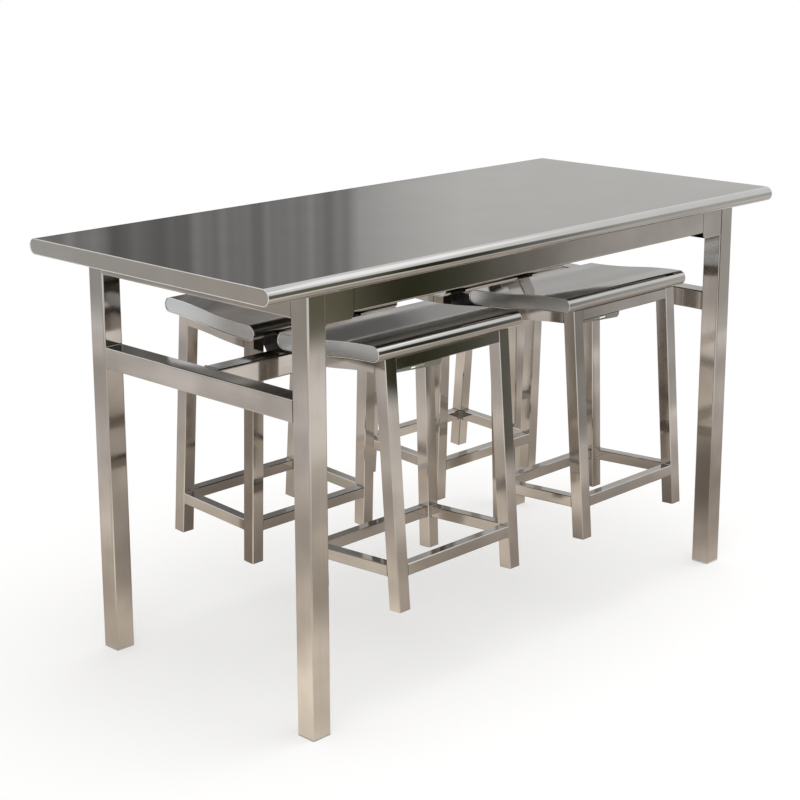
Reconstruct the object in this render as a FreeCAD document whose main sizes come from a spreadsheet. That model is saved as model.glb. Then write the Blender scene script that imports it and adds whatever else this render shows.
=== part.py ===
import FreeCAD, Part
import math
import os
import re
import Sketcher

# Canteen table of welded stainless tube with four stools hung on its centre beam.
# Frame: origin on the floor under the middle of the table, +X along its length, +Z up.
# The front is at -Y. All lengths are in millimetres and all angles in degrees.

SIZES = {
    # Table top: folded sheet over a board, half-round along both long edges.
    "top_length": 1310,
    "top_width": 595,
    "top_height": 750,
    "top_thickness": 27,
    "top_sheet": 1.2,
    "top_end_sheet": 1.5,
    "top_end_recess": 1.0,
    # Table legs and the rails cut from the same tube.
    "leg_size": 38,
    "leg_wall": 1.5,
    "leg_corner": 3,
    "leg_end_inset": 98,
    "leg_side_inset": 24,
    "leg_plug_height": 20,
    "mid_rail_drop": 195,
    # Aprons under the top, plugged into sockets on the legs.
    "apron_height": 42,
    "apron_wall": 1.2,
    "apron_joint": 1.0,
    "socket_length": 58,
    "socket_height": 54,
    "socket_wall": 1.5,
    "socket_rounding": 14,
    "tongue_length": 130,
    "tongue_wall": 2.0,
    # Pose of the hung stools.
    "stool_spacing": 474,
    "stool_shift": 8,
    "stool_axis_offset": 181,
    "stool_drop": 392,
    "stool_tilt": 3.17,
    # Stool frame.
    "stool_length": 298,
    "stool_foot_depth": 218,
    "stool_splay": 1.24,
    "stool_leg_size": 25,
    "stool_leg_wall": 1.2,
    "stool_plug_height": 12,
    "stool_rail_size": 20,
    "stool_rail_wall": 1.2,
    "side_rail_height": 24,
    "stool_tube_edge": 1.2,
    "footrest_top": 77,
    "footrest_size": 20,
    # Stool seat: a flat S of two equal arcs, crowned at the sitter's side.
    "seat_length": 345,
    "seat_depth": 238,
    "seat_thickness": 27,
    "seat_offset": 9,
    "seat_radius": 930,
    "seat_crown_top": 447,
    "seat_crown_offset": 75,
    "seat_hollow_offset": 65,
    "seat_sheet": 1.2,
    "seat_end_sheet": 1.2,
    "seat_end_recess": 1.0,
    # Hooks that straddle the centre beam.
    "hook_thickness": 6,
    "hook_first": -91,
    "hook_spacing": 196,
    "hook_drop": 2,
    "hook_lip_width": 6,
    "hook_lip_depth": 18,
    "hook_heel_depth": 34,
    "hook_heel_setback": 12,
    "hook_root": 18,
    # Slotted latch plate under the outer rail.
    "latch_length": 105,
    "latch_depth": 9.5,
    "latch_root_depth": 4.5,
    "latch_thickness": 3,
    "latch_slot_start": 33,
    "latch_slot_length": 35,
    "latch_slot_width": 3,
    "latch_slot_drop": 3.4,
    # Clearances.
    "fit_clearance": 0.3,
    "sheet_clearance": 0.2,
    "beam_clearance": 0.4,
}

# Places that several pieces share.
UNDERSIDE = "(top_height - top_thickness)"
LEG_X = "(top_length / 2 - leg_end_inset - leg_size / 2)"
LEG_Y = "(top_width / 2 - leg_side_inset - leg_size / 2)"
LEG_INNER_X = "(top_length / 2 - leg_end_inset - leg_size)"
LEG_INNER_Y = "(top_width / 2 - leg_side_inset - leg_size)"
APRON_Z = f"({UNDERSIDE} - apron_height / 2)"
SOCKET_Z = f"({UNDERSIDE} - socket_height / 2)"
RAIL_TOP = "(top_height - mid_rail_drop)"
RAIL_Z = f"({RAIL_TOP} - leg_size / 2)"

# Centres of the seat's two arcs, across the stool and up. The sitter's side is at -Y.
CROWN_Y = "(seat_offset - seat_crown_offset)"
CROWN_Z = "(seat_crown_top - seat_radius)"
HOLLOW_Y = "(seat_offset + seat_hollow_offset)"
ARC_STEP = "(seat_crown_offset + seat_hollow_offset)"
HOLLOW_Z = f"({CROWN_Z} + sqrt(4 * seat_radius ^ 2 - {ARC_STEP} ^ 2))"
OUTER_NOSE_Y = "(seat_offset - seat_depth / 2 + seat_thickness / 2)"
INNER_NOSE_Y = "(seat_offset + seat_depth / 2 - seat_thickness / 2)"

# The splayed legs' outer faces, from the stool's middle, at the height of the seat and of the footrest.
SEAT_FACE = "(stool_foot_depth / 2 - (seat_crown_top - seat_thickness) * tan(stool_splay))"
FOOTREST_FACE = "(stool_foot_depth / 2 - (footrest_top - footrest_size / 2) * tan(stool_splay))"
STOOL_LEG_X = "(stool_length / 2 - stool_leg_size / 2)"
STOOL_INNER_X = "(stool_length / 2 - stool_leg_size)"

# Tops of the legs and rails, just under the seat's lower face.
OUTER_ARC = f"sqrt((seat_radius - seat_thickness) ^ 2 - ({SEAT_FACE} + {CROWN_Y}) ^ 2)"
OUTER_TOP = f"({CROWN_Z} + {OUTER_ARC} - sheet_clearance)"
INNER_TOP = f"({HOLLOW_Z} - seat_radius - seat_thickness - sheet_clearance)"
OUTER_RAIL_Z = f"({OUTER_TOP} - stool_rail_size / 2)"
INNER_RAIL_Z = f"({INNER_TOP} - stool_rail_size / 2)"
OUTER_RAIL_BOTTOM = f"({OUTER_TOP} - stool_rail_size)"

# The centre beam's near and far top edges, seen across a stool from its own tilted frame.
BEAM_FAR = "((stool_axis_offset + leg_size / 2) * cos(stool_tilt) - stool_drop * sin(stool_tilt))"
BEAM_NEAR = "((stool_axis_offset - leg_size / 2) * cos(stool_tilt) - stool_drop * sin(stool_tilt))"
HOOK_TOP = f"({INNER_TOP} - hook_drop)"
HOOK_FAR = f"({BEAM_FAR} + beam_clearance + hook_lip_width)"

doc = FreeCAD.newDocument("canteen_table")
sheet = doc.addObject("Spreadsheet::Sheet", "sizes")
for row, (alias, size) in enumerate(SIZES.items(), start=1):
    sheet.set(f"A{row}", alias)
    sheet.set(f"B{row}", str(size))
    sheet.setAlias(f"B{row}", alias)
doc.recompute()

nodes = []


def bound(text):
    """Point every size named in an expression at the spreadsheet."""
    return re.sub(r"[a-z]+(?:_[a-z]+)+", lambda word: "sizes." + word.group(), str(text))


def number(text):
    """Present value of an expression."""
    return float(sheet.evalExpression(bound(text)))


def vector(x, y):
    return FreeCAD.Vector(x, y, 0)


def make_body(label):
    body = doc.addObject("PartDesign::Body", label)
    body.Label = label
    body.AllowCompound = True
    nodes.append(body)
    return body


def origin_plane(body, role):
    return next(feature for feature in body.Origin.OriginFeatures if feature.Role == role)


def make_sketch(body, role, offset="0"):
    """Empty sketch on an origin plane, moved along the plane's normal by an expression."""
    sketch = body.newObject("Sketcher::SketchObject", body.Label + "_sketch")
    sketch.AttachmentSupport = (origin_plane(body, role), [""])
    sketch.MapMode = "FlatFace"
    sketch.setExpression("AttachmentOffset.Base.z", bound(offset))
    return sketch


class Outline:
    """Collects the curves and constraints of a sketch and adds them together."""

    def __init__(self, sketch):
        self.sketch = sketch
        self.first = sketch.GeometryCount
        self.curves = []
        self.rules = []
        self.driven = []

    def line(self, start, end):
        self.curves.append(Part.LineSegment(vector(*start), vector(*end)))
        return self.first + len(self.curves) - 1

    def arc(self, centre, radius, start, end):
        circle = Part.Circle(vector(*centre), FreeCAD.Vector(0, 0, 1), radius)
        self.curves.append(Part.ArcOfCircle(circle, start, end))
        return self.first + len(self.curves) - 1

    def rule(self, *words):
        self.rules.append(Sketcher.Constraint(*words))

    def size(self, text, *words):
        self.driven.append((self.sketch.ConstraintCount + len(self.rules), text))
        self.rules.append(Sketcher.Constraint(*words, number(text)))

    def pin(self, curve, end, x=None, y=None):
        """Fix a curve's start (1), end (2) or centre (3) by expressions."""
        if x is not None:
            self.size(x, "DistanceX", -1, 1, curve, end)
        if y is not None:
            self.size(y, "DistanceY", -1, 1, curve, end)

    def join(self, first, first_end, second, second_end, smooth=False):
        kind = "Tangent" if smooth else "Coincident"
        self.rule(kind, first, first_end, second, second_end)

    def add(self):
        self.sketch.addGeometry(self.curves, False)
        self.sketch.addConstraint(self.rules)
        for index, text in self.driven:
            self.sketch.setExpression(f"Constraints[{index}]", bound(text))


def polygon(sketch, corners):
    """Closed outline of straight lines through corners given as pairs of expressions."""
    outline = Outline(sketch)
    points = [(number(x), number(y)) for x, y in corners]
    count = len(points)
    lines = [outline.line(points[i], points[(i + 1) % count]) for i in range(count)]
    for i, (x, y) in enumerate(corners):
        outline.pin(lines[i], 1, x, y)
        outline.join(lines[i], 2, lines[(i + 1) % count], 1)
    outline.add()


def rounded_loop(sketch, x, y, width, height, radius):
    """Rectangle with round corners about a centre."""
    outline = Outline(sketch)
    corners = []
    for quarter, (side_x, side_y) in enumerate(((1, 1), (-1, 1), (-1, -1), (1, -1))):
        centre_x = f"{x} + {side_x} * ({width} / 2 - {radius})"
        centre_y = f"{y} + {side_y} * ({height} / 2 - {radius})"
        start = quarter * math.pi / 2
        centre = (number(centre_x), number(centre_y))
        corner = outline.arc(centre, number(radius), start, start + math.pi / 2)
        outline.pin(corner, 3, centre_x, centre_y)
        outline.size(radius, "Radius", corner)
        corners.append((corner, centre, start + math.pi / 2))
    reach = number(radius)
    for i, (corner, centre, angle) in enumerate(corners):
        following, next_centre, next_angle = corners[(i + 1) % 4]
        step = (reach * math.cos(angle), reach * math.sin(angle))
        start = (centre[0] + step[0], centre[1] + step[1])
        end = (next_centre[0] + step[0], next_centre[1] + step[1])
        side = outline.line(start, end)
        outline.join(corner, 2, side, 1, smooth=True)
        outline.join(side, 2, following, 1, smooth=True)
    outline.add()


def square_loop(sketch, x, y, width, height):
    """Plain rectangle about a centre."""
    left, right = f"{x} - {width} / 2", f"{x} + {width} / 2"
    bottom, top = f"{y} - {height} / 2", f"{y} + {height} / 2"
    polygon(sketch, [(left, bottom), (right, bottom), (right, top), (left, top)])


def tube_loops(sketch, x, y, width, height, wall, corner):
    """Round-cornered outer outline and plain inner outline of a rectangular tube."""
    rounded_loop(sketch, x, y, width, height, corner)
    square_loop(sketch, x, y, f"({width} - 2 * {wall})", f"({height} - 2 * {wall})")


def stool_tube_loops(sketch, x, y, size, wall):
    """Outlines of a stool's light square tube, with its edges broken."""
    half, flat = f"{size} / 2", f"({size} / 2 - stool_tube_edge)"
    steps = ((flat, half), (half, flat))
    corners = []
    for side_x, side_y in (("+", "+"), ("-", "+"), ("-", "-"), ("+", "-")):
        pair = [(f"{x} {side_x} {across}", f"{y} {side_y} {up}") for across, up in steps]
        corners += pair[::-1] if side_x == side_y else pair
    polygon(sketch, corners)
    square_loop(sketch, x, y, f"({size} - 2 * {wall})", f"({size} - 2 * {wall})")


def slot_loop(sketch, x, y, half_length, radius):
    """Two half circles joined by straight lines, lying along the sketch's first axis."""
    outline = Outline(sketch)
    middle_x, middle_y = number(x), number(y)
    reach, half = number(radius), number(half_length)
    right = outline.arc((middle_x + half, middle_y), reach, -math.pi / 2, math.pi / 2)
    left = outline.arc((middle_x - half, middle_y), reach, math.pi / 2, 3 * math.pi / 2)
    upper = outline.line((middle_x + half, middle_y + reach), (middle_x - half, middle_y + reach))
    lower = outline.line((middle_x - half, middle_y - reach), (middle_x + half, middle_y - reach))
    for arc, side in ((right, "+"), (left, "-")):
        outline.pin(arc, 3, f"{x} {side} {half_length}", y)
        outline.size(radius, "Radius", arc)
    outline.join(right, 2, upper, 1, smooth=True)
    outline.join(upper, 2, left, 1, smooth=True)
    outline.join(left, 2, lower, 1, smooth=True)
    outline.join(lower, 2, right, 1, smooth=True)
    outline.add()


def seat_loop(sketch, inset):
    """The seat's S section, drawn inside its true outline by an inset."""
    outline = Outline(sketch)
    crown = (number(CROWN_Y), number(CROWN_Z))
    hollow = (number(HOLLOW_Y), number(HOLLOW_Z))
    outer_y, inner_y = number(OUTER_NOSE_Y), number(INNER_NOSE_Y)
    half = number("seat_thickness / 2")
    turn = math.atan2(hollow[1] - crown[1], hollow[0] - crown[0])
    outer_radius = number("seat_radius - seat_thickness / 2")
    inner_radius = number("seat_radius + seat_thickness / 2")
    outer_angle = math.acos((outer_y - crown[0]) / outer_radius)
    inner_angle = 2 * math.pi - math.acos((inner_y - hollow[0]) / inner_radius)
    outer_nose = (outer_y, crown[1] + outer_radius * math.sin(outer_angle))
    inner_nose = (inner_y, hollow[1] + inner_radius * math.sin(inner_angle))
    tip = half - number(inset)
    crown_top = outline.arc(crown, outer_radius + tip, turn, outer_angle)
    crown_base = outline.arc(crown, outer_radius - tip, turn, outer_angle)
    hollow_top = outline.arc(hollow, inner_radius - tip, turn + math.pi, inner_angle)
    hollow_base = outline.arc(hollow, inner_radius + tip, turn + math.pi, inner_angle)
    outer_end = outline.arc(outer_nose, tip, outer_angle, outer_angle + math.pi)
    inner_end = outline.arc(inner_nose, tip, inner_angle, inner_angle + math.pi)
    outline.join(crown_top, 1, hollow_top, 1, smooth=True)
    outline.join(crown_base, 1, hollow_base, 1, smooth=True)
    outline.join(crown_top, 2, outer_end, 1, smooth=True)
    outline.join(outer_end, 2, crown_base, 2, smooth=True)
    outline.join(hollow_base, 2, inner_end, 1, smooth=True)
    outline.join(inner_end, 2, hollow_top, 2, smooth=True)
    outline.join(crown_top, 3, crown_base, 3)
    outline.join(hollow_top, 3, hollow_base, 3)
    outline.pin(crown_top, 3, CROWN_Y, CROWN_Z)
    outline.pin(hollow_top, 3, HOLLOW_Y)
    outline.pin(outer_end, 3, OUTER_NOSE_Y)
    outline.pin(inner_end, 3, INNER_NOSE_Y)
    outline.size(f"seat_radius - {inset}", "Radius", crown_top)
    outline.size(f"seat_radius - seat_thickness + {inset}", "Radius", crown_base)
    outline.size(f"seat_radius + {inset}", "Radius", hollow_top)
    outline.add()


def curved_rail_loop(sketch, half_span, upper, lower):
    """Band under the seat that keeps to its curve, between two depths below the seat's upper face."""
    outline = Outline(sketch)
    crown = (number(CROWN_Y), number(CROWN_Z))
    hollow = (number(HOLLOW_Y), number(HOLLOW_Z))
    turn = math.atan2(hollow[1] - crown[1], hollow[0] - crown[0])
    span = number(half_span)
    edges = []
    for depth in (upper, lower):
        crown_radius = number(f"seat_radius - ({depth})")
        hollow_radius = number(f"seat_radius + ({depth})")
        outer_angle = math.acos((-span - crown[0]) / crown_radius)
        inner_angle = 2 * math.pi - math.acos((span - hollow[0]) / hollow_radius)
        crown_arc = outline.arc(crown, crown_radius, turn, outer_angle)
        hollow_arc = outline.arc(hollow, hollow_radius, turn + math.pi, inner_angle)
        outer_point = (-span, crown[1] + crown_radius * math.sin(outer_angle))
        inner_point = (span, hollow[1] + hollow_radius * math.sin(inner_angle))
        outline.join(crown_arc, 1, hollow_arc, 1, smooth=True)
        outline.size(f"seat_radius - ({depth})", "Radius", crown_arc)
        edges.append((crown_arc, hollow_arc, outer_point, inner_point))
    (crown_top, hollow_top, outer_top, inner_top), (crown_base, hollow_base, outer_base, inner_base) = edges
    outer_end = outline.line(outer_top, outer_base)
    inner_end = outline.line(inner_top, inner_base)
    outline.join(crown_top, 2, outer_end, 1)
    outline.join(outer_end, 2, crown_base, 2)
    outline.join(hollow_top, 2, inner_end, 1)
    outline.join(inner_end, 2, hollow_base, 2)
    outline.join(crown_top, 3, crown_base, 3)
    outline.join(hollow_top, 3, hollow_base, 3)
    outline.size(f"seat_radius + ({upper})", "Radius", hollow_top)
    outline.pin(crown_top, 3, CROWN_Y, CROWN_Z)
    outline.pin(hollow_top, 3, HOLLOW_Y)
    outline.rule("Vertical", outer_end)
    outline.rule("Vertical", inner_end)
    outline.pin(outer_end, 1, f"-{half_span}")
    outline.pin(inner_end, 1, half_span)
    outline.add()


def pad(body, sketch, length, both_ways=False):
    feature = body.newObject("PartDesign::Pad", body.Label + "_pad")
    feature.Profile = sketch
    feature.SideType = "Symmetric" if both_ways else "One side"
    feature.setExpression("Length", bound(length))
    return feature


def pocket(body, sketch, length):
    """Cut of a given length, half to each side of its sketch."""
    feature = body.newObject("PartDesign::Pocket", body.Label + "_pocket")
    feature.Profile = sketch
    feature.SideType = "Symmetric"
    feature.setExpression("Length", bound(length))
    return feature


def mirror(body, features, role="YZ_Plane"):
    feature = body.newObject("PartDesign::Mirrored", body.Label + "_mirror")
    feature.Originals = features
    feature.MirrorPlane = (origin_plane(body, role), [""])
    body.Tip = feature
    return feature


def place(body, x="0", y="0", z="0"):
    body.setExpression("Placement", bound(f"placement(vector({x}; {y}; {z}); rotation(vector(0; 0; 1); 0))"))


# Table top.
skin = make_body("top_skin")
sketch = make_sketch(skin, "YZ_Plane")
slot_loop(sketch, "0", "0", "(top_width / 2 - top_thickness / 2)", "(top_thickness / 2)")
slot_loop(sketch, "0", "0", "(top_width / 2 - top_thickness / 2)", "(top_thickness / 2 - top_sheet)")
pad(skin, sketch, "top_length", both_ways=True)
place(skin, z="top_height - top_thickness / 2")

board = make_body("top_board")
sketch = make_sketch(board, "YZ_Plane")
square_loop(sketch, "0", "0", "(top_width - top_thickness)", "(top_thickness - 2 * top_sheet)")
pad(board, sketch, "top_length - 2 * top_end_recess - 2 * top_end_sheet", both_ways=True)
place(board, z="top_height - top_thickness / 2")

ends = make_body("top_ends")
sketch = make_sketch(ends, "YZ_Plane", "top_length / 2 - top_end_recess - top_end_sheet")
end_radius = "(top_thickness / 2 - top_sheet - sheet_clearance)"
slot_loop(sketch, "0", "0", "(top_width / 2 - top_thickness / 2)", end_radius)
mirror(ends, [pad(ends, sketch, "top_end_sheet")])
place(ends, z="top_height - top_thickness / 2")

# Table legs.
for label, side_x, side_y in (
    ("leg_front_left", "-", "-"),
    ("leg_front_right", "", "-"),
    ("leg_back_left", "-", ""),
    ("leg_back_right", "", ""),
):
    leg = make_body(label)
    sketch = make_sketch(leg, "XY_Plane")
    tube_loops(sketch, "0", "0", "leg_size", "leg_size", "leg_wall", "leg_corner")
    pad(leg, sketch, UNDERSIDE)
    place(leg, x=side_x + LEG_X, y=side_y + LEG_Y)

plugs = make_body("leg_plugs")
sketch = make_sketch(plugs, "XY_Plane")
plug_size = "(leg_size - 2 * leg_wall - 2 * fit_clearance)"
for side_x in ("-", ""):
    for side_y in ("-", ""):
        square_loop(sketch, side_x + LEG_X, side_y + LEG_Y, plug_size, plug_size)
pad(plugs, sketch, "leg_plug_height")

# Aprons along the table, with the sockets on the legs and the tongues that join them.
for label, side_y in (("apron_front", "-"), ("apron_back", "")):
    apron = make_body(label)
    sketch = make_sketch(apron, "YZ_Plane")
    tube_loops(sketch, "0", "0", "leg_size", "apron_height", "apron_wall", "leg_corner")
    pad(apron, sketch, f"2 * ({LEG_INNER_X} - socket_length - apron_joint)", both_ways=True)
    place(apron, y=side_y + LEG_Y, z=APRON_Z)

sockets = make_body("apron_sockets")
sketch = make_sketch(sockets, "YZ_Plane", f"{LEG_INNER_X} - socket_length")
for side_y in ("-", ""):
    tube_loops(sketch, side_y + LEG_Y, "0", "leg_size", "socket_height", "socket_wall", "leg_corner")
sleeve = pad(sockets, sketch, "socket_length")
sketch = make_sketch(sockets, "XZ_Plane")
corner_x = f"({LEG_INNER_X} - socket_length)"
corner_z = "(-socket_height / 2)"
outline = Outline(sketch)
round_centre = (f"{corner_x} + socket_rounding", f"{corner_z} + socket_rounding")
middle = (number(round_centre[0]), number(round_centre[1]))
reach = number("socket_rounding")
rounding = outline.arc(middle, reach, math.pi, 3 * math.pi / 2)
base = outline.line((middle[0], middle[1] - reach), (middle[0] - reach, middle[1] - reach))
side = outline.line((middle[0] - reach, middle[1] - reach), (middle[0] - reach, middle[1]))
outline.pin(rounding, 3, *round_centre)
outline.size("socket_rounding", "Radius", rounding)
outline.pin(side, 1, corner_x, corner_z)
outline.join(rounding, 2, base, 1, smooth=True)
outline.join(base, 2, side, 1)
outline.join(side, 2, rounding, 1, smooth=True)
outline.add()
rounded_corner = pocket(sockets, sketch, "2 * top_width")
mirror(sockets, [sleeve, rounded_corner])
place(sockets, z=SOCKET_Z)

tongues = make_body("apron_tongues")
sketch = make_sketch(tongues, "YZ_Plane", f"{LEG_INNER_X} - tongue_length")
tongue_width = "(leg_size - 2 * max(apron_wall; socket_wall) - 2 * fit_clearance)"
tongue_height = "(apron_height - 2 * max(apron_wall; socket_wall) - 2 * fit_clearance)"
for side_y in ("-", ""):
    square_loop(sketch, side_y + LEG_Y, "0", tongue_width, tongue_height)
    square_loop(sketch, side_y + LEG_Y, "0", f"({tongue_width} - 2 * tongue_wall)",
                f"({tongue_height} - 2 * tongue_wall)")
mirror(tongues, [pad(tongues, sketch, "tongue_length")])
place(tongues, z=APRON_Z)

# Cross rails at both ends and the beam that the stools hang on.
for label, height, centre_z in (("end_aprons", "apron_height", APRON_Z), ("mid_rails", "leg_size", RAIL_Z)):
    rails = make_body(label)
    sketch = make_sketch(rails, "XZ_Plane")
    for side_x in ("-", ""):
        tube_loops(sketch, side_x + LEG_X, "0", "leg_size", height, "leg_wall", "leg_corner")
    pad(rails, sketch, f"2 * {LEG_INNER_Y}", both_ways=True)
    place(rails, z=centre_z)

beam = make_body("centre_beam")
sketch = make_sketch(beam, "YZ_Plane")
tube_loops(sketch, "0", "0", "leg_size", "leg_size", "leg_wall", "leg_corner")
pad(beam, sketch, f"2 * {LEG_INNER_X}", both_ways=True)
place(beam, z=RAIL_Z)

# Room that the beam takes up in the hooks.
beam_room = doc.addObject("Part::Box", "beam_room")
beam_room.setExpression("Length", bound("top_length"))
beam_room.setExpression("Width", bound("leg_size + 2 * beam_clearance"))
beam_room.setExpression("Height", bound(f"{RAIL_TOP} + beam_clearance"))
beam_corner = "vector(-top_length / 2; -leg_size / 2 - beam_clearance; 0)"
beam_room.setExpression("Placement", bound(f"placement({beam_corner}; rotation(vector(0; 0; 1); 0))"))


def place_stool(piece, side_x, front):
    """Hang a piece of a stool: front stools lean about X, back stools are turned round as well."""
    side_y = "-" if front else ""
    along = f"{side_x}stool_spacing / 2 + stool_shift"
    spot = f"vector({along}; {side_y}stool_axis_offset; {RAIL_TOP} - stool_drop)"
    lean = "rotation(vector(1; 0; 0); -stool_tilt)"
    turned = "rotation(vector(0; -sin(stool_tilt / 2); cos(stool_tilt / 2)); 180)"
    piece.setExpression("Placement", bound(f"placement({spot}; {lean if front else turned})"))


def make_seat(name):
    skin = make_body(name + "_seat_skin")
    sketch = make_sketch(skin, "YZ_Plane")
    seat_loop(sketch, "0")
    seat_loop(sketch, "seat_sheet")
    pad(skin, sketch, "seat_length", both_ways=True)
    ends = make_body(name + "_seat_ends")
    sketch = make_sketch(ends, "YZ_Plane", "seat_length / 2 - seat_end_recess - seat_end_sheet")
    seat_loop(sketch, "(seat_sheet + sheet_clearance)")
    mirror(ends, [pad(ends, sketch, "seat_end_sheet")])
    return [skin, ends]


def make_stool_legs(name, side_y, top):
    """Two legs of one side: tube swept along the splay, cut level at both ends."""
    legs = make_body(name)
    sketch = make_sketch(legs, "XY_Plane")
    centre_y = f"{side_y}(stool_foot_depth / 2 - stool_leg_size / 2)"
    for side_x in ("-", ""):
        stool_tube_loops(sketch, side_x + STOOL_LEG_X, centre_y, "stool_leg_size", "stool_leg_wall")
    sweep = pad(legs, sketch, top)
    sweep.UseCustomVector = True
    sweep.AlongSketchNormal = True
    inward = "-" if side_y == "" else ""
    sweep.Direction = FreeCAD.Vector(0, number(f"{inward}tan(stool_splay)"), 1)
    sweep.setExpression("Direction.y", bound(f"{inward}tan(stool_splay)"))
    return legs


def make_foot_plugs(name):
    plugs = make_body(name)
    sketch = make_sketch(plugs, "XY_Plane")
    plug_size = "(stool_leg_size - 2 * stool_leg_wall - 2 * fit_clearance)"
    for side_x in ("-", ""):
        for side_y in ("-", ""):
            centre_y = f"{side_y}(stool_foot_depth / 2 - stool_leg_size / 2)"
            square_loop(sketch, side_x + STOOL_LEG_X, centre_y, plug_size, plug_size)
    pad(plugs, sketch, "stool_plug_height")
    return plugs


def make_long_rail(name, side_y, centre_z):
    rail = make_body(name)
    sketch = make_sketch(rail, "YZ_Plane")
    centre_y = f"{side_y}({SEAT_FACE} - stool_rail_size / 2)"
    stool_tube_loops(sketch, centre_y, centre_z, "stool_rail_size", "stool_rail_wall")
    pad(rail, sketch, f"2 * {STOOL_INNER_X}", both_ways=True)
    return rail


def make_side_rails(name):
    """Two curved tubes between outer and inner legs, with the seat lying on them."""
    rails = make_body(name)
    middle_x = "stool_length / 2 - stool_rail_size / 2"
    half_span = f"({SEAT_FACE} - stool_leg_size)"
    top = "seat_thickness + sheet_clearance"
    sketch = make_sketch(rails, "YZ_Plane", middle_x)
    curved_rail_loop(sketch, half_span, top, top + " + side_rail_height")
    solid = pad(rails, sketch, "stool_rail_size", both_ways=True)
    sketch = make_sketch(rails, "YZ_Plane", middle_x)
    past_ends = f"({half_span} + stool_rail_wall)"
    curved_rail_loop(sketch, past_ends, top + " + stool_rail_wall", top + " + side_rail_height - stool_rail_wall")
    bore = pocket(rails, sketch, "stool_rail_size - 2 * stool_rail_wall")
    mirror(rails, [solid, bore])
    return rails


def make_footrest(name):
    """Ring of four bars between the legs, flush with their outer faces."""
    ring = make_body(name)
    centre_z = "(footrest_top - footrest_size / 2)"
    sketch = make_sketch(ring, "YZ_Plane")
    for side_y in ("-", ""):
        centre_y = f"{side_y}({FOOTREST_FACE} - footrest_size / 2)"
        stool_tube_loops(sketch, centre_y, centre_z, "footrest_size", "stool_rail_wall")
    pad(ring, sketch, f"2 * {STOOL_INNER_X}", both_ways=True)
    sketch = make_sketch(ring, "XZ_Plane")
    for side_x in ("-", ""):
        centre_x = f"{side_x}(stool_length / 2 - footrest_size / 2)"
        stool_tube_loops(sketch, centre_x, centre_z, "footrest_size", "stool_rail_wall")
    inner_face = "(stool_foot_depth / 2 - footrest_top * tan(stool_splay) - stool_leg_size)"
    pad(ring, sketch, f"2 * {inner_face}", both_ways=True)
    return ring


def make_hooks(name, side_x, front):
    """Two plates welded to the inner rail and under it, notched over the centre beam with a lip behind it."""
    plates = doc.addObject("PartDesign::Body", name + "_plates")
    plates.AllowCompound = True
    sketch = make_sketch(plates, "YZ_Plane", "hook_first")
    rail_bottom = f"({INNER_TOP} - stool_rail_size)"
    lip_bottom = f"({HOOK_TOP} - hook_lip_depth)"
    heel_bottom = f"({HOOK_TOP} - hook_heel_depth)"
    middle = f"(({BEAM_NEAR} + {BEAM_FAR}) / 2)"
    polygon(sketch, [
        (SEAT_FACE, HOOK_TOP),
        (SEAT_FACE, rail_bottom),
        (f"{SEAT_FACE} - hook_root", rail_bottom),
        (f"{SEAT_FACE} - hook_root + hook_heel_setback", heel_bottom),
        (middle, heel_bottom),
        (middle, lip_bottom),
        (HOOK_FAR, lip_bottom),
        (HOOK_FAR, HOOK_TOP),
    ])
    plate = pad(plates, sketch, "hook_thickness")
    pair = plates.newObject("PartDesign::LinearPattern", name + "_pair")
    pair.Originals = [plate]
    pair.Direction = (next(axis for axis in plates.Origin.OriginFeatures if axis.Role == "X_Axis"), [""])
    pair.setExpression("Length", bound("hook_spacing"))
    pair.Occurrences = 2
    plates.Tip = pair
    place_stool(plates, side_x, front)
    hooks = doc.addObject("Part::Cut", name)
    hooks.Label = name
    hooks.Base = plates
    hooks.Tool = beam_room
    nodes.append(hooks)


def make_latch(name):
    """Slotted plate that hangs from the outer rail beside a leg, deeper at its round free end."""
    latch = make_body(name)
    sketch = make_sketch(latch, "XZ_Plane", f"{SEAT_FACE} - latch_thickness")
    root_x = f"(-{STOOL_INNER_X})"
    end_x = f"({root_x} + latch_length - latch_depth)"
    outline = Outline(sketch)
    root, top = number(root_x), number(OUTER_RAIL_BOTTOM)
    end, depth = number(end_x), number("latch_depth")
    root_base = top - number("latch_root_depth")
    upper = outline.line((root, top), (end + depth, top))
    tip = outline.arc((end, top), depth, 3 * math.pi / 2, 2 * math.pi)
    lower = outline.line((end, top - depth), (root, root_base))
    side = outline.line((root, root_base), (root, top))
    outline.pin(upper, 1, root_x, OUTER_RAIL_BOTTOM)
    outline.rule("Horizontal", upper)
    outline.join(upper, 2, tip, 2)
    outline.pin(tip, 3, end_x, OUTER_RAIL_BOTTOM)
    outline.size("latch_depth", "Radius", tip)
    outline.join(tip, 1, lower, 1, smooth=True)
    outline.pin(lower, 2, root_x, f"{OUTER_RAIL_BOTTOM} - latch_root_depth")
    outline.join(lower, 2, side, 1)
    outline.join(side, 2, upper, 1)
    outline.add()
    slot_middle = f"({root_x} + latch_slot_start + latch_slot_length / 2)"
    slot_half = "(latch_slot_length / 2 - latch_slot_width / 2)"
    slot_loop(sketch, slot_middle, f"{OUTER_RAIL_BOTTOM} - latch_slot_drop", slot_half, "(latch_slot_width / 2)")
    pad(latch, sketch, "latch_thickness")
    return latch


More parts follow.
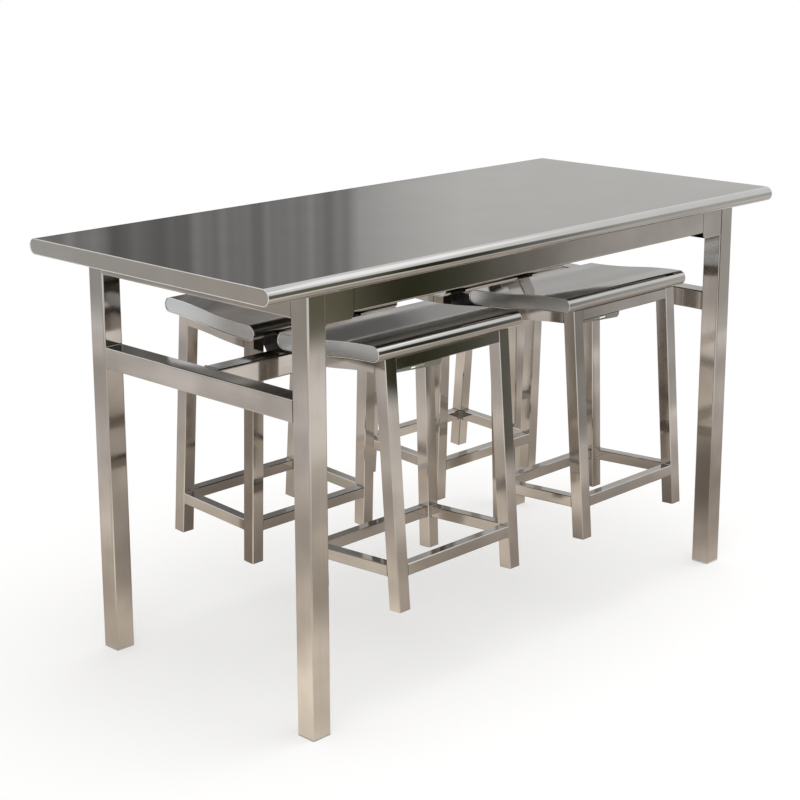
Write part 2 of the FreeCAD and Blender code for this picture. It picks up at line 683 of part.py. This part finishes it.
for place_name, side_x, front in (
    ("front_left", "-", True),
    ("front_right", "", True),
    ("back_left", "-", False),
    ("back_right", "", False),
):
    stool = "stool_" + place_name
    pieces = make_seat(stool)
    pieces.append(make_stool_legs(stool + "_outer_legs", "-", OUTER_TOP))
    pieces.append(make_stool_legs(stool + "_inner_legs", "", INNER_TOP))
    pieces.append(make_long_rail(stool + "_outer_rail", "-", OUTER_RAIL_Z))
    pieces.append(make_long_rail(stool + "_inner_rail", "", INNER_RAIL_Z))
    pieces.append(make_side_rails(stool + "_side_rails"))
    pieces.append(make_footrest(stool + "_footrest"))
    pieces.append(make_foot_plugs(stool + "_foot_plugs"))
    pieces.append(make_latch(stool + "_latch"))
    for piece in pieces:
        place_stool(piece, side_x, front)
    make_hooks(stool + "_hooks", side_x, front)

doc.recompute()
for item in doc.Objects:
    if "Invalid" in item.State or "Error" in item.State:
        raise RuntimeError(f"{item.Label} failed: {item.State}")
for node in nodes:
    if node.Shape.isNull() or not node.Shape.isValid():
        raise RuntimeError(f"{node.Label} has no valid shape")

os.makedirs("parts", exist_ok=True)
for node in nodes:
    node.Shape.exportStep(f"parts/{node.Label}.step")
    print(node.Label, len(node.Shape.Solids), round(node.Shape.Volume))
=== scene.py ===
import math

import bpy
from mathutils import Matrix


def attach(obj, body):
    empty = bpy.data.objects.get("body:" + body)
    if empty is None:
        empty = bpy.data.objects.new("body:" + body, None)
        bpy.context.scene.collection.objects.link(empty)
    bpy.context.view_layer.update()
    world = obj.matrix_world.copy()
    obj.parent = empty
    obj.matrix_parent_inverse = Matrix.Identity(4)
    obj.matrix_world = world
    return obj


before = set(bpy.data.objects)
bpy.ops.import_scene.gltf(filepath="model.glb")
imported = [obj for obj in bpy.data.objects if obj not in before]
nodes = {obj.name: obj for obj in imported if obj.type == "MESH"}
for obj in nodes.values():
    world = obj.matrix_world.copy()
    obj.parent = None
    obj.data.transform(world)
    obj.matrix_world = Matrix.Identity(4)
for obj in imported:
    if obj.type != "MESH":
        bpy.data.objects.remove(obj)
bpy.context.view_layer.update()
STOOLS = ("stool_front_left", "stool_front_right", "stool_back_left", "stool_back_right")

# Patterns in the steel, in metres. Real grain lines are about 0.2 mm apart, which is finer than a pixel here, so
# they are drawn coarser.
GRAIN_GAP = 0.0025
GRAIN_RUN = 0.35
GRAIN_DEPTH = 0.0004
PATCH = 0.11
SWELL = 0.16
SWELL_DEPTH = 0.0001
RIM = 0.002
# Share of the lines in the mottle of lines and patches, and the mottle's dull and bright ends
LINE_SHARE = 0.2
DULL_END, BRIGHT_END = 0.45, 0.75


def linear(code):
    """An sRGB hex colour as linear RGBA."""
    parts = [int(code[i:i + 2], 16) / 255 for i in (1, 3, 5)]
    return [p / 12.92 if p <= 0.04045 else ((p + 0.055) / 1.055) ** 2.4 for p in parts] + [1.0]


def add(tree, kind, inputs=None, stops=None, **settings):
    """Adds a node with its settings, its inputs (values or sockets) and a ramp's stops."""
    node = tree.nodes.new(kind)
    for name, value in settings.items():
        setattr(node, name, value)
    for name, value in (inputs or {}).items():
        socket = next((s for s in node.inputs if s.identifier == name), None) or node.inputs[name]
        if isinstance(value, bpy.types.NodeSocket):
            tree.links.new(value, socket)
        else:
            socket.default_value = value
    if stops:
        elements = node.color_ramp.elements
        while len(elements) < len(stops):
            elements.new(0.5)
        for element, (place, code) in zip(elements, stops):
            element.position = place
            element.color = linear(code)
    return node


def new_material(name):
    material = bpy.data.materials.new(name)
    material.use_nodes = True
    material.node_tree.nodes.clear()
    return material, material.node_tree


def steel(name, along, colour, dull, shine, grain, sheet=False, painted_shade=None):
    """Stainless steel with its grain along the named axes.

    The eye gets fine lines along the piece and soft patches a hand's width across, from bright and smooth to dull
    and rough. Sheet is also faintly uneven, and its cut edges are shaded as rounded and carry a painted highlight:
    their colour is lightened to near white, so that they show as a thin light line. A side that faces the
    `painted_shade` way, or inward to the middle of the table, carries painted shade: the colour beside it, a tone
    set for the dim light it gets there, and a rougher finish.
    """
    material, tree = new_material(name)
    place = add(tree, "ShaderNodeTexCoord").outputs["Object"]
    stretch = [1 / GRAIN_GAP] * 3
    for axis in along:
        stretch["XYZ".index(axis)] = 1 / GRAIN_RUN
    stretched = add(tree, "ShaderNodeMapping", {"Vector": place, "Scale": stretch}).outputs["Vector"]
    lines = add(tree, "ShaderNodeTexNoise", {
        "Vector": stretched, "Scale": 1.0, "Detail": 3.0, "Roughness": 0.6}).outputs["Fac"]
    patches = add(tree, "ShaderNodeTexNoise", {
        "Vector": place, "Scale": 1 / PATCH, "Detail": 2.0}).outputs["Fac"]
    mottle = add(tree, "ShaderNodeMath", {
        0: lines, 1: LINE_SHARE, 2: patches}, operation="MULTIPLY_ADD").outputs["Value"]
    shade = add(tree, "ShaderNodeValToRGB", {"Fac": mottle}, stops=[
        (DULL_END, dull), (BRIGHT_END, colour)]).outputs["Color"]
    rough = add(tree, "ShaderNodeMapRange", {
        "Value": mottle, "From Min": DULL_END, "From Max": BRIGHT_END,
        "To Min": shine[1], "To Max": shine[0]}).outputs["Result"]
    bump = add(tree, "ShaderNodeBump", {"Height": lines, "Strength": grain, "Distance": GRAIN_DEPTH})
    if sheet:
        rounded = add(tree, "ShaderNodeBevel", {"Radius": RIM}, samples=6).outputs["Normal"]
        bend = add(tree, "ShaderNodeVectorMath", {
            0: add(tree, "ShaderNodeNewGeometry").outputs["Normal"], 1: rounded},
            operation="DOT_PRODUCT").outputs["Value"]
        # Painted highlight: the colour turns near white where the rounded edge bends the normal away from the
        # face's own.
        rim_highlight = add(tree, "ShaderNodeMapRange", {
            "Value": bend, "From Min": 0.995, "From Max": 0.90}).outputs["Result"]
        shade = add(tree, "ShaderNodeMix", {
            "Factor_Float": rim_highlight, "A_Color": shade, "B_Color": linear("#F1F0EE")}, data_type="RGBA").outputs[2]
        uneven = add(tree, "ShaderNodeTexNoise", {
            "Vector": place, "Scale": 1 / SWELL, "Detail": 1.0}).outputs["Fac"]
        swell = add(tree, "ShaderNodeBump", {
            "Height": uneven, "Strength": 1.0, "Distance": SWELL_DEPTH, "Normal": rounded})
        tree.links.new(swell.outputs["Normal"], bump.inputs["Normal"])
    # Painted shade: faces turned the given way take the given colour and a rougher finish, for the dim light they
    # get.
    if painted_shade:
        side, shade_colour = painted_shade
        if side == "inward":
            side = add(tree, "ShaderNodeVectorMath", {
                0: place, 1: (-5, -5, 0)}, operation="MULTIPLY").outputs["Vector"]
        facing = add(tree, "ShaderNodeVectorMath", {
            0: add(tree, "ShaderNodeNewGeometry").outputs["True Normal"], 1: side},
            operation="DOT_PRODUCT").outputs["Value"]
        shaded_face = add(tree, "ShaderNodeMapRange", {
            "Value": facing, "From Min": 0.90, "From Max": 0.99}).outputs["Result"]
        shade = add(tree, "ShaderNodeMix", {
            "Factor_Float": shaded_face, "A_Color": shade, "B_Color": linear(shade_colour)}, data_type="RGBA").outputs[2]
        rough = add(tree, "ShaderNodeMath", {
            0: shaded_face, 1: 0.25, 2: rough}, operation="MULTIPLY_ADD").outputs["Value"]
    shader = add(tree, "ShaderNodeBsdfPrincipled", {
        "Base Color": shade, "Metallic": 1.0, "Roughness": rough, "Normal": bump.outputs["Normal"]})
    add(tree, "ShaderNodeOutputMaterial", {"Surface": shader.outputs["BSDF"]})
    return material


def plain(name, first, second, size, rough, depth):
    """A dull material with a mottle of two colours and a grain of the given size in metres."""
    material, tree = new_material(name)
    place = add(tree, "ShaderNodeTexCoord").outputs["Object"]
    mottle = add(tree, "ShaderNodeTexNoise", {
        "Vector": place, "Scale": 1 / size, "Detail": 4.0}).outputs["Fac"]
    shade = add(tree, "ShaderNodeValToRGB", {"Fac": mottle}, stops=[(0.3, first), (0.7, second)])
    bump = add(tree, "ShaderNodeBump", {"Height": mottle, "Strength": 0.4, "Distance": depth})
    shader = add(tree, "ShaderNodeBsdfPrincipled", {
        "Base Color": shade.outputs["Color"], "Roughness": rough, "Normal": bump.outputs["Normal"]})
    add(tree, "ShaderNodeOutputMaterial", {"Surface": shader.outputs["BSDF"]})
    return material


# Painted shade: the sheet's undersides turn dark grey, and the aprons' faces turned inward to the table's middle
# take a set pale grey, for the dim light under the table.
SHADED_UNDERSIDE = ((0, 0, -1), "#7C7B77")
SHADED_INSIDE = ("inward", "#D0CFCB")
# Sheet of the top and seats: nearly a mirror, with a slightly uneven surface
top_sheet = steel("polished steel sheet", "X", "#C0BFBD", "#BBBAB8", (0.03, 0.05), 0.02,
                  sheet=True, painted_shade=SHADED_UNDERSIDE)
seat_sheet = steel("polished steel seat sheet", "X", "#C0BFBD", "#BAB9B7", (0.06, 0.09), 0.02,
                   sheet=True, painted_shade=SHADED_UNDERSIDE)
# End plates: finely ground, so they look an even grey
top_plate = steel("ground steel end plate", "Y", "#CDCAC6", "#C1BEBA", (0.14, 0.20), 0.05)
seat_plate = steel("polished steel seat end plate", "Y", "#DFE3E6", "#D3D7DA", (0.20, 0.26), 0.03)
# Tube: brushed along its length, faintly warm grey with soft patches
tube_x = steel("brushed steel tube along X", "X", "#C3BFBB", "#B2AEA9", (0.06, 0.12), 0.05)
# Aprons: their faces turned inward carry the painted shade set above.
apron_x = steel("brushed steel long apron", "X", "#C3BFBB", "#B2AEA9", (0.06, 0.11), 0.05, painted_shade=SHADED_INSIDE)
apron_y = steel("brushed steel end apron", "Y", "#C3BFBB", "#B2AEA9", (0.06, 0.11), 0.05, painted_shade=SHADED_INSIDE)
tube_y = steel("brushed steel tube along Y", "Y", "#C3BFBB", "#B2AEA9", (0.06, 0.12), 0.05)
tube_z = steel("brushed steel tube along Z", "Z", "#C3BFBB", "#B0ABA6", (0.06, 0.12), 0.05)
tube_flat = steel("brushed steel footrest tube", "XY", "#C3BFBB", "#B2AEA9", (0.06, 0.12), 0.05)
# Weld beads: brushed clean after the torch, so they look a little darker and duller than the tube
bead = steel("brushed weld bead", "", "#B3AEA7", "#8F8A85", (0.22, 0.32), 0.10)
# Latch and tongues: cut plate with a dull mill finish
mill_plate = steel("mill finished steel plate", "X", "#B2B3AE", "#9FA099", (0.28, 0.40), 0.15)
# Hooks: painted shade, a dull black that stands for steel plates sitting in the dark under the seats, so they look
# black and soft
hook_shade_black = plain("black hook shade", "#101011", "#1C1C1D", size=0.003, rough=0.42, depth=0.0003)
# Board inside the top: pressed chips, so it looks a mottled tan
board = plain("pressed wood board", "#8E6F4C", "#B4946C", size=0.004, rough=0.75, depth=0.0005)
# Plugs: black plastic with a fine moulded texture, so they look dull
plug = plain("moulded black plastic", "#1B1B1C", "#2A2A2B", size=0.0015, rough=0.5, depth=0.0002)

LOOKS = {"top_skin": top_sheet, "top_ends": top_plate, "top_board": board, "leg_plugs": plug,
         "apron_front": apron_x, "apron_back": apron_x, "apron_sockets": tube_x,
         "apron_tongues": mill_plate, "end_aprons": apron_y, "mid_rails": tube_y,
         "centre_beam": tube_x}
for corner in ("front_left", "front_right", "back_left", "back_right"):
    LOOKS["leg_" + corner] = tube_z
for stool in STOOLS:
    for piece, look in (("seat_skin", seat_sheet), ("seat_ends", seat_plate), ("outer_legs", tube_z),
                        ("inner_legs", tube_z), ("outer_rail", tube_x), ("inner_rail", tube_x),
                        ("side_rails", tube_y), ("footrest", tube_flat), ("foot_plugs", plug),
                        ("hooks", hook_shade_black), ("latch", mill_plate)):
        LOOKS[f"{stool}_{piece}"] = look
for name, look in LOOKS.items():
    for slot in nodes[name].material_slots:
        slot.material = look

DROP = 0.0019  # radius of a weld drop, and the step from one to the next
DROP_SQUASH = 0.75


def weld_row(middle, along, length):
    """A row of weld drops that overlap like dropped coins, centred on a joint and parallel to an axis."""
    axis = "XYZ".index(along)
    count = round(length / DROP)
    start = list(middle)
    start[axis] -= DROP * (count - 1) / 2
    bpy.ops.mesh.primitive_ico_sphere_add(subdivisions=2, radius=DROP, location=start)
    drop = bpy.context.object
    drop.scale[axis] = DROP_SQUASH
    bpy.ops.object.transform_apply(location=False, rotation=False, scale=True)
    row = drop.modifiers.new("row", "ARRAY")
    row.count = count
    row.use_relative_offset = False
    row.use_constant_offset = True
    row.constant_offset_displace = [DROP if i == axis else 0.0 for i in range(3)]
    bpy.ops.object.modifier_apply(modifier="row")
    return drop


def join_welds(name, rows):
    """All rows as one piece with its place in its mesh."""
    bpy.ops.object.select_all(action="DESELECT")
    for row in rows:
        row.select_set(True)
    bpy.context.view_layer.objects.active = rows[0]
    bpy.ops.object.join()
    piece = bpy.context.object
    piece.name = name
    bpy.ops.object.transform_apply(location=True, rotation=True, scale=True)
    bpy.ops.object.shade_smooth()
    piece.data.materials.append(bead)
    return piece


bpy.ops.object.select_all(action="DESELECT")
# Welds of the table: cross rails, beam and sockets on the legs. Places are those of one corner, from the middle.
LEG_X, LEG_Y = 0.538, 0.2545
LEG_FACE_X, LEG_FACE_Y = 0.519, 0.2355
RAIL_FOOT, RAIL_MIDDLE, RAIL_TOP = 0.517, 0.536, 0.555
APRON_FOOT, APRON_MIDDLE, SOCKET_FOOT = 0.681, 0.702, 0.669
BEAM_SIDE = 0.019
TUBE_WELD, APRON_WELD = 0.032, 0.036
rows = []
for x in (-1, 1):
    for y in (-1, 1):
        rows += [weld_row((x * LEG_X, y * LEG_FACE_Y, RAIL_TOP), "X", TUBE_WELD),
                 weld_row((x * LEG_X, y * LEG_FACE_Y, RAIL_FOOT), "X", TUBE_WELD),
                 weld_row((x * LEG_FACE_X, y * LEG_FACE_Y, RAIL_MIDDLE), "Z", TUBE_WELD),
                 weld_row((x * LEG_X, y * LEG_FACE_Y, APRON_FOOT), "X", TUBE_WELD),
                 weld_row((x * LEG_FACE_X, y * LEG_FACE_Y, APRON_MIDDLE), "Z", APRON_WELD),
                 weld_row((x * LEG_FACE_X, y * LEG_Y, SOCKET_FOOT), "Y", TUBE_WELD),
                 weld_row((x * LEG_FACE_X, y * BEAM_SIDE, RAIL_MIDDLE), "Z", TUBE_WELD)]
    rows += [weld_row((x * LEG_FACE_X, 0, z), "Y", TUBE_WELD) for z in (RAIL_FOOT, RAIL_TOP)]
table_welds = join_welds("table_welds", rows)
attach(table_welds, "table")

# Welds of one stool, upright about its own middle: footrest bars and seat rails on the legs
STOOL_FACE_X, STOOL_FACE_Y = 0.124, 0.0825
BAR_X, BAR_Y = 0.139, 0.0975
BAR_FACE_X, BAR_FACE_Y = 0.129, 0.0875
BAR_FOOT, BAR_MIDDLE, BAR_TOP = 0.057, 0.067, 0.077
SEAT_RAIL = (0.0799, 0.404)
BAR_WELD, SEAT_RAIL_WELD = 0.017, 0.016
rows = []
for x in (-1, 1):
    for y in (-1, 1):
        rows += [weld_row((x * STOOL_FACE_X, y * BAR_Y, z), "Y", BAR_WELD) for z in (BAR_FOOT, BAR_TOP)]
        rows += [weld_row((x * BAR_X, y * STOOL_FACE_Y, z), "X", BAR_WELD) for z in (BAR_FOOT, BAR_TOP)]
        rows += [weld_row((x * STOOL_FACE_X, y * BAR_FACE_Y, BAR_MIDDLE), "Z", BAR_WELD),
                 weld_row((x * BAR_FACE_X, y * STOOL_FACE_Y, BAR_MIDDLE), "Z", BAR_WELD),
                 weld_row((x * STOOL_FACE_X, y * SEAT_RAIL[0], SEAT_RAIL[1]), "Z", SEAT_RAIL_WELD)]
one_stool = join_welds("stool_welds", rows)
# Places of the stools: their middles, their shift to the right, their feet's height and their lean
STOOL_X, STOOL_Y, STOOL_Z = 0.237, 0.181, 0.163
STOOL_SHIFT = 0.008
LEAN = math.radians(3.17)
for stool in STOOLS:
    bpy.ops.object.select_all(action="DESELECT")
    one_stool.select_set(True)
    bpy.context.view_layer.objects.active = one_stool
    bpy.ops.object.duplicate()
    welds = bpy.context.object
    welds.name = stool + "_welds"
    across = -1 if "left" in stool else 1
    side = -1 if "front" in stool else 1
    welds.location = (across * STOOL_X + STOOL_SHIFT, side * STOOL_Y, STOOL_Z)
    welds.rotation_euler = (-LEAN, 0, 0 if side < 0 else math.pi)
    bpy.ops.object.transform_apply(location=True, rotation=True, scale=True)
    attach(welds, stool)
bpy.data.objects.remove(one_stool)

# Studio: camera, mirror and glass rays all see a white room, and other rays get a softer light
world = bpy.data.worlds.new("studio")
bpy.context.scene.world = world
world.use_nodes = True
tree = world.node_tree
tree.nodes.clear()
path = add(tree, "ShaderNodeLightPath").outputs
seen = add(tree, "ShaderNodeMath", {
    0: path["Is Camera Ray"], 1: path["Is Glossy Ray"]}, operation="ADD").outputs["Value"]
seen = add(tree, "ShaderNodeMath", {
    0: seen, 1: path["Is Transmission Ray"]}, operation="ADD", use_clamp=True).outputs["Value"]
room = add(tree, "ShaderNodeBackground", {"Color": linear("#FFFFFF"), "Strength": 1.0})
fill = add(tree, "ShaderNodeBackground", {"Color": linear("#FFFFFF"), "Strength": 0.85})
either = add(tree, "ShaderNodeMixShader", {
    "Fac": seen, 1: fill.outputs["Background"], 2: room.outputs["Background"]})
add(tree, "ShaderNodeOutputWorld", {"Surface": either.outputs["Shader"]})

# Floor: white matt paint that keeps the shadow, half glowing white at its middle as painted light that softens the
# shadow, glowing fully white towards its rim to fade into the white room, and clear from below
FLOOR_RADIUS = 2.1
bpy.ops.object.select_all(action="DESELECT")
bpy.ops.mesh.primitive_circle_add(vertices=96, radius=FLOOR_RADIUS, fill_type="NGON", location=(0, 0, 0))
floor = bpy.context.object
floor.name = "studio_floor"
material, tree = new_material("white studio floor")
place = add(tree, "ShaderNodeTexCoord").outputs["Object"]
reach = add(tree, "ShaderNodeVectorMath", {0: place}, operation="LENGTH").outputs["Value"]
# Painted light: the share of white glow, half at the middle and whole past the rim's start.
floor_glow_share = add(tree, "ShaderNodeMapRange", {
    "Value": reach, "From Min": 0.6, "From Max": 1.4, "To Min": 0.5},
    interpolation_type="SMOOTHSTEP").outputs["Result"]
paint = add(tree, "ShaderNodeBsdfDiffuse", {"Color": linear("#F4F3F1")})
white = add(tree, "ShaderNodeEmission", {"Color": linear("#FFFFFF")})
fade = add(tree, "ShaderNodeMixShader", {
    "Fac": floor_glow_share, 1: paint.outputs["BSDF"], 2: white.outputs["Emission"]})
below = add(tree, "ShaderNodeMixShader", {
    "Fac": add(tree, "ShaderNodeNewGeometry").outputs["Backfacing"], 1: fade.outputs["Shader"],
    2: add(tree, "ShaderNodeBsdfTransparent").outputs["BSDF"]})
add(tree, "ShaderNodeOutputMaterial", {"Surface": below.outputs["Shader"]})
floor.data.materials.append(material)

FOLD = 0.1  # half the spacing of the drapes' folds, in metres


def mirror_rays_only(panel):
    """Hides a card from all but mirror rays."""
    for ray in ("visible_camera", "visible_diffuse", "visible_shadow", "visible_transmission"):
        setattr(panel, ray, False)


def card(name, middle, size, turn, stops, head, foot, slant=(0.0, 0.0), strength=1.0, folds=None):
    """A standing grey card that only mirror rays see, as a photographer sets round polished metal.

    Its greys run along its width by the stops, and it fades out at its head and foot. Its foot may slant, by a
    slope that starts at a place along the width. It may hang in folds, of a depth and up to a place along the
    width. Places run from -0.5 to 0.5 of the card's width or height.
    """
    bpy.ops.object.select_all(action="DESELECT")
    bpy.ops.mesh.primitive_plane_add(size=1.0, location=middle, rotation=(math.pi / 2, 0, math.radians(turn)))
    panel = bpy.context.object
    panel.name = name
    panel.scale = (size[0], size[1], 1.0)
    mirror_rays_only(panel)
    material, tree = new_material(name)
    spot = add(tree, "ShaderNodeSeparateXYZ", {
        "Vector": add(tree, "ShaderNodeTexCoord").outputs["Object"]}).outputs
    across = add(tree, "ShaderNodeMapRange", {"Value": spot["X"], "From Min": -0.5, "From Max": 0.5})
    greys = add(tree, "ShaderNodeValToRGB", {"Fac": across.outputs["Result"]}, stops=stops)
    past = add(tree, "ShaderNodeMath", {0: spot["X"], 1: slant[1]}, operation="MAXIMUM")
    rise = add(tree, "ShaderNodeMath", {
        0: past.outputs["Value"], 1: slant[0], 2: spot["Y"]}, operation="MULTIPLY_ADD")
    low = add(tree, "ShaderNodeMapRange", {
        "Value": rise.outputs["Value"], "From Min": foot[0], "From Max": foot[1]},
        interpolation_type="SMOOTHSTEP")
    high = add(tree, "ShaderNodeMapRange", {
        "Value": spot["Y"], "From Min": 0.5, "From Max": 0.5 - head}, interpolation_type="SMOOTHSTEP")
    solid = add(tree, "ShaderNodeMath", {
        0: low.outputs["Result"], 1: high.outputs["Result"]}, operation="MULTIPLY")
    if folds:
        fold = add(tree, "ShaderNodeTexNoise", {
            "W": spot["X"], "Scale": size[0] / FOLD, "Detail": 1.0}, noise_dimensions="1D").outputs["Fac"]
        fold = add(tree, "ShaderNodeMath", {0: fold, 1: 0.5}, operation="SUBTRACT").outputs["Value"]
        depth = add(tree, "ShaderNodeMapRange", {
            "Value": spot["X"], "From Min": folds[1], "From Max": folds[1] - 0.004, "To Max": folds[0]})
        strength = add(tree, "ShaderNodeMath", {
            0: fold, 1: depth.outputs["Result"], 2: strength}, operation="MULTIPLY_ADD").outputs["Value"]
    glow = add(tree, "ShaderNodeEmission", {"Color": greys.outputs["Color"], "Strength": strength})
    clear = add(tree, "ShaderNodeBsdfTransparent")
    mixed = add(tree, "ShaderNodeMixShader", {
        "Fac": solid.outputs["Value"], 1: clear.outputs["BSDF"], 2: glow.outputs["Emission"]})
    add(tree, "ShaderNodeOutputMaterial", {"Surface": mixed.outputs["Shader"]})
    panel.data.materials.append(material)


# Behind, for the top and seats: dark drapes in folds to the left, a pale grey wall to the right
card("back_card", middle=(4.0, 3.3, 1.6), size=(9.0, 3.0), turn=0, stops=[
    (0.0, "#868483"), (0.235, "#868483"), (0.25, "#6E6C6B"), (0.29, "#747271"), (0.30, "#82807F"),
    (0.386, "#878584"), (0.394, "#A9A8A6"), (0.425, "#BCBBB9"), (0.47, "#CBCAC8"),
    (1.0, "#D0CFCD")], head=0.15, foot=(-0.5, -0.38), folds=(0.9, -0.112))
# Behind and low, for the seats alone: dark to the left, pale further right
card("low_back_card", middle=(4.0, 3.2, 0.9), size=(9.0, 1.0), turn=0, stops=[
    (0.0, "#62605F"), (0.36, "#62605F"), (0.39, "#6C6A69"), (0.415, "#9C9B99"), (0.5, "#B8B7B5"),
    (1.0, "#C5C4C2")], head=0.08, foot=(-0.5, -0.2))
# Ahead, for the aprons and noses: dark olive to the left, pale to the right
card("front_card", middle=(1.5, -1.35, 0.66), size=(3.0, 1.28), turn=0, stops=[
    (0.0, "#74725F"), (0.17, "#74725F"), (0.235, "#373826"), (0.275, "#373826"), (0.335, "#55564A"),
    (0.365, "#716F68"), (0.43, "#93918B"), (0.52, "#BCBAB5"), (0.65, "#D0CECA"), (1.0, "#D0CECA")],
    head=0.25, foot=(-0.79, -0.735), slant=(1.71, -0.27))
# To the left, low, for the end plates and the legs' end faces: warm ahead, plain grey further back
card("left_card", middle=(-1.9, 1.8, 0.42), size=(3.2, 0.84), turn=90, stops=[
    (0.0, "#FFFFFF"), (0.12, "#B4AFA8"), (0.36, "#B4AFA8"), (0.58, "#B8B8B6"), (0.88, "#B8B8B6"),
    (1.0, "#FFFFFF")], head=0.3, foot=(-0.5, -0.3))
# High on the right, for the noses: a soft glow that brightens them towards the left
card("glow_card", middle=(2.4, -1.1, 3.4), size=(3.8, 1.8), turn=90, stops=[
    (0.0, "#D5D5D5"), (0.2, "#FFFFFF"), (0.8, "#FFFFFF"), (1.0, "#D5D5D5")],
    head=0.2, foot=(-0.5, -0.1), strength=1.55)

# Under and round the table, for the tubes: a floor card with painted light and shade: a painted shadow dark under
# the seats, warm near the table and greyer further out. Each patch has a middle, a radius and how much lighter it
# is: a painted pool of light by the near foot, painted shade to the front right. Painted light pales the floor
# further ahead, and a painted glare brightens a spot by the near foot.
FLOOR_CARD_RADIUS = 3.0
FLOOR_MOTTLE = 0.45
FLOOR_PATCHES = [((-0.65, -0.35, 0), 0.7, 0.34), ((0.75, -0.7, 0), 1.2, -0.16)]
GLARE, GLARE_RADIUS, GLARE_STRENGTH = (-0.7, -0.2, 0), 0.32, 1.5
bpy.ops.object.select_all(action="DESELECT")
bpy.ops.mesh.primitive_circle_add(
    vertices=64, radius=FLOOR_CARD_RADIUS, fill_type="NGON", location=(0, 0, 0.003))
floor_card = bpy.context.object
floor_card.name = "floor_card"
mirror_rays_only(floor_card)
material, tree = new_material("floor_card")
place = add(tree, "ShaderNodeTexCoord").outputs["Object"]
light = add(tree, "ShaderNodeTexNoise", {
    "Vector": place, "Scale": 1 / FLOOR_MOTTLE, "Detail": 1.0}).outputs["Fac"]
light = add(tree, "ShaderNodeMath", {0: light, 1: 0.5, 2: 0.235}, operation="MULTIPLY_ADD").outputs["Value"]
reach = add(tree, "ShaderNodeVectorMath", {0: place}, operation="LENGTH").outputs["Value"]
# Painted shadow: the card darkens towards its middle, under the table and seats.
outside_painted_shadow = add(tree, "ShaderNodeMapRange", {
    "Value": reach, "From Min": 0.1, "From Max": 0.55}, interpolation_type="SMOOTHSTEP").outputs["Result"]
light = add(tree, "ShaderNodeMath", {0: light, 1: outside_painted_shadow}, operation="MULTIPLY").outputs["Value"]
for middle, radius, change in FLOOR_PATCHES:
    gap = add(tree, "ShaderNodeVectorMath", {0: place, 1: middle}, operation="DISTANCE").outputs["Value"]
    patch = add(tree, "ShaderNodeMapRange", {
        "Value": gap, "From Min": radius, "From Max": 0.0, "To Max": change},
        interpolation_type="SMOOTHSTEP").outputs["Result"]
    light = add(tree, "ShaderNodeMath", {0: light, 1: patch}, operation="ADD").outputs["Value"]
ahead = add(tree, "ShaderNodeVectorMath", {
    0: place, 1: (0, -1, 0)}, operation="DOT_PRODUCT").outputs["Value"]
ahead = add(tree, "ShaderNodeMapRange", {
    "Value": ahead, "From Min": 1.0, "From Max": 1.6, "To Max": 0.2},
    interpolation_type="SMOOTHSTEP").outputs["Result"]
light = add(tree, "ShaderNodeMath", {0: light, 1: ahead}, operation="ADD").outputs["Value"]
warm = add(tree, "ShaderNodeValToRGB", {"Fac": light}, stops=[
    (0.0, "#8A8179"), (0.36, "#BFB4A9"), (0.62, "#FFF4E4")]).outputs["Color"]
greyer = add(tree, "ShaderNodeValToRGB", {"Fac": light}, stops=[
    (0.0, "#86827F"), (0.36, "#B9B4B0"), (0.62, "#FFF9F3")]).outputs["Color"]
far = add(tree, "ShaderNodeMapRange", {
    "Value": reach, "From Min": 0.8, "From Max": 2.0}, interpolation_type="SMOOTHSTEP").outputs["Result"]
shade = add(tree, "ShaderNodeMix", {
    "Factor_Float": far, "A_Color": warm, "B_Color": greyer}, data_type="RGBA").outputs[2]
gap = add(tree, "ShaderNodeVectorMath", {0: place, 1: GLARE}, operation="DISTANCE").outputs["Value"]
glare = add(tree, "ShaderNodeMapRange", {
    "Value": gap, "From Min": GLARE_RADIUS, "From Max": 0.0, "To Min": 1.0, "To Max": GLARE_STRENGTH},
    interpolation_type="SMOOTHSTEP").outputs["Result"]
glow = add(tree, "ShaderNodeEmission", {"Color": shade, "Strength": glare}).outputs["Emission"]
add(tree, "ShaderNodeOutputMaterial", {"Surface": glow})
floor_card.data.materials.append(material)

AIM_HEIGHT = 0.4


def soft_light(name, place, size, watts):
    """A softbox that points at the middle of the object. The cards stand for it in the metal."""
    data = bpy.data.lights.new(name, "AREA")
    data.shape = "RECTANGLE"
    data.size, data.size_y = size
    data.energy = watts
    lamp = bpy.data.objects.new(name, data)
    bpy.context.scene.collection.objects.link(lamp)
    lamp.visible_glossy = False
    lamp.location = place
    lamp.rotation_euler = (math.atan2(math.hypot(place[0], place[1]), place[2] - AIM_HEIGHT), 0,
                           math.atan2(place[0], -place[1]))


soft_light("overhead softbox", (0.3, -0.3, 3.0), (3.0, 2.4), watts=40)
soft_light("right softbox", (2.3, -1.0, 2.4), (2.2, 1.2), watts=15)
soft_light("left softbox", (-2.6, -1.6, 2.4), (2.0, 2.0), watts=20)

# Camera at the photograph's place, as fitted to it: focal length and middle of the view in pixels of its frame
FRAME_PX = 800
FOCAL_PX = 1780.3
MIDDLE_PX = (414.4, 332.1)
SENSOR_MM = 36
LOOK_DOWN, TURN_RIGHT = 13.627, 46.164
data = bpy.data.cameras.new("camera")
data.sensor_width = SENSOR_MM
data.lens = SENSOR_MM * FOCAL_PX / FRAME_PX
data.shift_x = -(MIDDLE_PX[0] - FRAME_PX / 2) / FRAME_PX
data.shift_y = (MIDDLE_PX[1] - FRAME_PX / 2) / FRAME_PX
camera = bpy.data.objects.new("camera", data)
bpy.context.scene.collection.objects.link(camera)
camera.location = (-2.309, -2.176, 1.293)
camera.rotation_euler = (math.radians(90 - LOOK_DOWN), 0, math.radians(-TURN_RIGHT))
bpy.context.scene.camera = camera
bpy.context.scene.view_settings.view_transform = "Standard"
